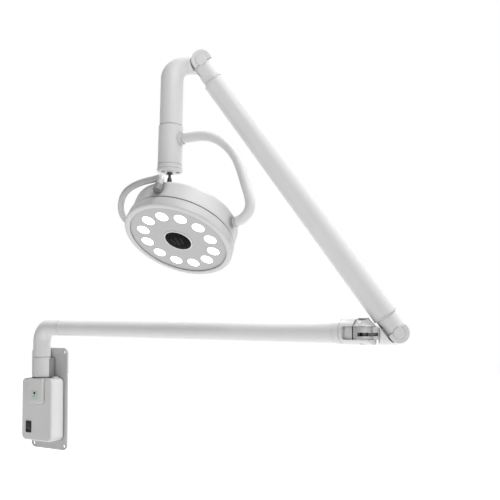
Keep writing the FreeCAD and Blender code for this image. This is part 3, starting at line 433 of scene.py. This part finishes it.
def lathe(bm, profile, segments, centre=(0, 0), relief=None):
    """Turns a closed (radius, z) profile about z; relief(angle, z, radius) adds to radius."""
    rows = []
    for i in range(segments):
        angle = TAU * i / segments
        row = []
        for radius, z in profile:
            reach = radius + (relief(angle, z, radius) if relief else 0)
            row.append(Vector((centre[0] + reach * math.cos(angle),
                               centre[1] + reach * math.sin(angle), z)))
        rows.append(row)
    loft(bm, rows, closed=True)


def bead(bm, path, radius, pitch, seed, loop=False):
    """Weld bead: a swept round with ripples and a little hand wander."""
    ring = 10
    ripple = 0.13
    taper_share = 0.06  # of the path, sets how fast an open end swells to full size
    rnd = random.Random(seed)
    wander = [rnd.uniform(-0.08, 0.08) for _ in path]
    count, rows, run = len(path), [], 0.0
    side = None
    for i, point in enumerate(path):
        ahead = path[(i + 1) % count] if (loop or i + 1 < count) else point
        behind = path[i - 1] if (loop or i > 0) else point
        along = (ahead - behind).normalized()
        if side is None:
            side = along.orthogonal().normalized()
        else:
            side = (side - along * side.dot(along)).normalized()
        up = along.cross(side)
        swell = 1 + ripple * math.sin(TAU * run / pitch) + wander[i]
        if not loop:
            from_end = min(i, count - 1 - i)
            swell *= min(1.0, 0.25 + 1.5 * from_end / (count * taper_share))
        angles = [TAU * j / ring for j in range(ring)]
        rows.append([point + (side * math.cos(a) + up * math.sin(a)) * radius * swell
                     for a in angles])
        if i + 1 < count:
            run += (path[i + 1] - point).length
    loft(bm, rows, closed=loop)


# ------------------------------------------------------------------ lamp head details (mm)

LIGHTS, LIGHT_CIRCLE = 12, 68.2  # count, and radius of the circle they stand on
LIGHT_CENTRES = [(LIGHT_CIRCLE * math.cos(TAU * i / LIGHTS),
                  LIGHT_CIRCLE * math.sin(TAU * i / LIGHTS)) for i in range(LIGHTS)]


def window_bars():
    """Three faint round-ended bars on the dark window."""
    # centre x, half length, half width, sideways lean at the end
    bars = ((-10.0, 8.0, 2.0, 1.5), (-1.5, 11.5, 2.6, 0.0), (8.5, 9.0, 2.0, -1.2))
    levels = ((-42.2, 0), (-42.62, 0), (-42.72, 0.35))  # z, inset of the outline
    points = 28
    bm = bmesh.new()
    for centre, half, width, lean in bars:
        rows = []
        for z, inset in levels:
            row = []
            for i in range(points):
                angle = TAU * i / points
                x = math.cos(angle) * (width - inset)
                y = math.sin(angle) * (width - inset)
                y += half - width if math.sin(angle) > 0 else width - half
                row.append(Vector((centre + x + lean * y / half, y, z)))
            rows.append(row)
        loft(bm, rows, closed=False)
    piece("window_bars", bm, HEAD, "lamp_head", "faint_print")


def window_ring():
    """Faint ring round the bars."""
    profile = [(19.9, -42.0), (20.6, -42.0), (20.6, -42.16), (20.25, -42.24), (19.9, -42.2)]
    bm = bmesh.new()
    lathe(bm, profile, segments=96)
    piece("window_inner_ring", bm, HEAD, "lamp_head", "faint_print")


def lens_ribs():
    """Concentric stepped ribs on each light's lens."""
    ribs = ((2.6, -41.58), (5.2, -41.52), (7.8, -41.42), (10.2, -41.22))  # radius, z
    # offsets from a rib's radius and z
    section = ((-0.9, 0.3), (0.9, 0.3), (0.5, -0.12), (0, -0.3), (-0.8, -0.02))
    bm = bmesh.new()
    for centre in LIGHT_CENTRES:
        for radius, z in ribs:
            lathe(bm, [(radius + dr, z + dz) for dr, dz in section], 36, centre)
    piece("lens_ribs", bm, HEAD, "lamp_head", "clear_lens")


def face_lips():
    """Low pressed lips round the light openings in the face plate."""
    profile = [(12.25, -40.8), (13.5, -40.8), (13.3, -41.12), (12.9, -41.3), (12.4, -41.22)]
    bm = bmesh.new()
    for centre in LIGHT_CENTRES:
        lathe(bm, profile, 40, centre)
    piece("face_lips", bm, HEAD, "lamp_head", "face_grey")


# ------------------------------------------------------------------ knurl and welds (mm)


def pin_knurl():
    """Diamond knurl on the lock pin's grip."""
    bottom, step, steps = -239.5, 0.5, 22
    core, grip = 4.1, 4.55  # radii at the closed ends and under the knurl
    depth, starts, twist = 0.30, 12, 1.9

    def diamonds(angle, z, radius):
        if radius < grip:
            return 0.0
        return (depth * abs(math.sin(starts * angle + z * twist))
                * abs(math.sin(starts * angle - z * twist)))

    profile = [(core, bottom)]
    profile += [(grip, bottom + step * i) for i in range(steps + 1)]
    profile += [(core, bottom + step * steps)]
    bm = bmesh.new()
    lathe(bm, profile, segments=120, relief=diamonds)
    piece("pin_knurl", bm, STEM, "stem_lock", "dark_chrome")


def yoke_weld():
    """Ring of weld where the yoke enters its collar."""
    x, z, radius, points = 28.1, -149.0, 10.0, 90
    path = [Vector((x, radius * math.cos(TAU * i / points),
                    z + radius * math.sin(TAU * i / points))) for i in range(points)]
    bm = bmesh.new()
    bead(bm, path, radius=0.95, pitch=2.4, seed=3, loop=True)
    piece("yoke_weld", bm, STEM, "lamp_stem", "weld")


def bracket_weld():
    """Beads up both sides and along the top of the bracket, on the wall plate."""
    y, step = -5.3, 0.9
    side_x, side_bottom = 22.2, -3.0
    top_left, top_z = -21.0, 108.3
    bm = bmesh.new()
    for sign in (-1, 1):
        path = [Vector((sign * side_x, y, side_bottom + i * step)) for i in range(123)]
        bead(bm, path, radius=1.5, pitch=3.2, seed=5 + sign)
    path = [Vector((top_left + i * step, y, top_z)) for i in range(47)]
    bead(bm, path, radius=1.5, pitch=3.2, seed=9)
    piece("bracket_weld", bm, WALL, "wall_mount", "weld_grey")


window_bars()
window_ring()
lens_ribs()
face_lips()
pin_knurl()
yoke_weld()
bracket_weld()

# ------------------------------------------------------------------ camera

PITCH = math.radians(1.76)  # the camera looks slightly up
HEADING = (-0.5, 0.8660254)  # x, y of the level view direction

cam_data = bpy.data.cameras.new("view")
cam = add_object("view", cam_data)
cam.location = (1.4115, -1.3698, 0.224)
forward = Vector((HEADING[0] * math.cos(PITCH), HEADING[1] * math.cos(PITCH),
                  math.sin(PITCH)))
cam.rotation_euler = forward.to_track_quat("-Z", "Y").to_euler()
cam_data.sensor_width = 36
cam_data.lens = 50.4
cam_data.shift_y = 0.086
cam_data.clip_start = 0.01
cam_data.clip_end = 60
bpy.context.scene.camera = cam
bpy.context.scene.view_settings.view_transform = "Standard"

# ------------------------------------------------------------------ lights

# Lights aim at CENTRE and are placed from it along the camera's level axes.
CENTRE = Vector((0.5, -0.16, 0.34))
RIGHT, TO_CAMERA, UP = Vector((0.866, 0.5, 0)), Vector((0.5, -0.866, 0)), Vector((0, 0, 1))


def area(name, right, to_camera, up, size, power):
    light = bpy.data.lights.new(name, "AREA")
    light.shape = "DISK"
    light.size = size
    light.energy = power
    obj = add_object(name, light)
    obj.location = CENTRE + RIGHT * right + TO_CAMERA * to_camera + UP * up
    obj.rotation_euler = (CENTRE - obj.location).to_track_quat("-Z", "Y").to_euler()
    obj.visible_camera = False
    return obj


area("key", right=1.5, to_camera=0.15, up=2.9, size=1.5, power=68)
area("front", right=0.5, to_camera=3.2, up=0.9, size=2.6, power=4)
area("upper_fill", right=0.35, to_camera=1.0, up=0.95, size=0.8, power=3.8)

# This one lights the lower arm only, so its top edge reads as bright as its underside.
lower_arm = bpy.data.collections.new("lower_arm_parts")
for name in ("horizontal_tube", "lower_elbow", "arm_end_fork"):
    lower_arm.objects.link(nodes[name])
strip = area("arm_strip", right=0.0, to_camera=-0.15, up=1.3, size=1.0, power=16)
strip.light_linking.receiver_collection = lower_arm

# ------------------------------------------------------------------ world


def studio_world():
    """White to the camera; to other rays a soft gradient plus a pale sweep."""
    world = bpy.data.worlds.new("studio")
    bpy.context.scene.world = world
    net = Net(world)
    coords = net.node("TexCoord").outputs
    # brighter toward +x and up, in world axes
    gradient = net.ramp(net.dot(coords["Generated"], (0.62, 0.10, 0.74)),
                        within=(-1, 1), onto=(0.02, 0.35))
    # behind the lamp as the camera sees it, in camera axes
    sweep = net.ramp(net.dot(coords["Camera"], (0.292, 0.30, 0.905)),
                     within=(0.05, 0.85), onto=(0.0, 0.85), interpolation_type="SMOOTHSTEP")
    ambient = net.node("Background", {0: grey(1), 1: net.math("ADD", gradient, sweep)})
    backdrop = net.node("Background", {0: grey(1), 1: 1.0})
    chosen = net.node("MixShader", {
        0: net.node("LightPath").outputs["Is Camera Ray"],
        1: ambient.outputs[0],
        2: backdrop.outputs[0],
    })
    net.node("OutputWorld", {0: chosen.outputs[0]})


studio_world()

# ------------------------------------------------------------------ floor

bm = bmesh.new()
bmesh.ops.create_circle(bm, cap_ends=True, radius=14, segments=96)
mesh = bpy.data.meshes.new("floor")
bm.to_mesh(mesh)
bm.free()
floor = add_object("floor", mesh)
floor.location = (0.5, 0.0, -1.05)
mesh.materials.append(pale_floor("floor_pale"))
